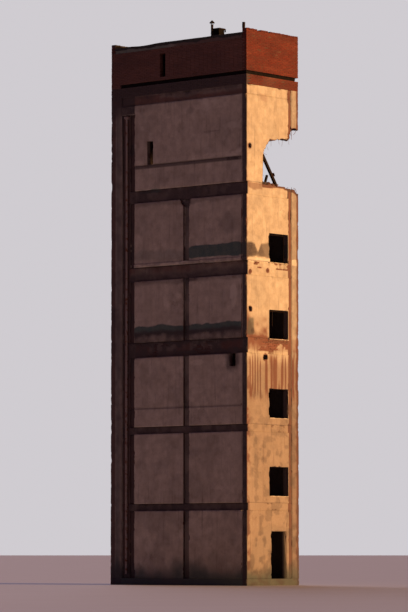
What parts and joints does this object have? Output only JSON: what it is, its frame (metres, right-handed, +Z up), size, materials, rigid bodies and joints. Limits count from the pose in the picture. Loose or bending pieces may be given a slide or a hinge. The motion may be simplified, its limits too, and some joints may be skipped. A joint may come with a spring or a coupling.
{
  "type": "concrete silo tower",
  "caption": "Tall rectangular concrete panel silo tower with recessed floor beams, end windows, a brick attic under a flat roof, and a broken-out upper corner.",
  "frame": {"origin": "ground level under the middle of the plan, on the underside of the foundation slab", "axes": "+Z up; X along the long walls; the front faces -Y; +X is the short side with the windows, the doorway and the broken upper corner"},
  "size_m": [8.38, 3.78, 26.04],
  "materials": {
    "panel_concrete": "weathered cement render over precast concrete",
    "pier_concrete": "rough stained concrete",
    "beam_concrete": "dark spalled concrete",
    "brick": "red fired brick with worn pale mortar",
    "roofing_felt": "matt weathered bitumen felt",
    "rusty_steel": "rusted mild steel"
  },
  "bodies": {
    "root": {"foundation_slab": "beam_concrete", "pier_front_left": "pier_concrete", "pier_back_left": "pier_concrete", "pier_back_right_lower": "pier_concrete", "pier_back_right_upper": "pier_concrete", "floor_1": "beam_concrete", "floor_2": "beam_concrete", "floor_3": "beam_concrete", "floor_4": "beam_concrete", "floor_5": "beam_concrete", "front_wall_1": "panel_concrete", "front_wall_2": "panel_concrete", "front_wall_3": "panel_concrete", "front_wall_4": "panel_concrete", "front_wall_5": "panel_concrete", "front_apron": "panel_concrete", "front_wall_top": "panel_concrete", "back_wall_1": "panel_concrete", "back_wall_2": "panel_concrete", "back_wall_3": "panel_concrete", "back_wall_4": "panel_concrete", "back_wall_5": "panel_concrete", "back_wall_top": "panel_concrete", "right_wall_1_front": "panel_concrete", "right_wall_1_back": "panel_concrete", "right_wall_1_over_door": "panel_concrete", "right_wall_2": "panel_concrete", "right_wall_3": "panel_concrete", "right_wall_4": "panel_concrete", "right_wall_5": "panel_concrete", "right_wall_top": "panel_concrete", "left_wall_1": "panel_concrete", "left_wall_2": "panel_concrete", "left_wall_3": "panel_concrete", "left_wall_4": "panel_concrete", "left_wall_5": "panel_concrete", "left_wall_top": "panel_concrete", "ring_beam": "beam_concrete", "brick_band": "brick", "attic_floor_slab": "beam_concrete", "attic_front_wall": "brick", "attic_back_wall": "brick", "gable_right": "brick", "gable_left": "brick", "roof_slab": "roofing_felt", "roof_hatch": "roofing_felt", "vent_pipe": "rusty_steel", "corner_post": "rusty_steel", "fallen_bar": "rusty_steel", "rain_pipe": "rusty_steel"}
  },
  "joints": []
}
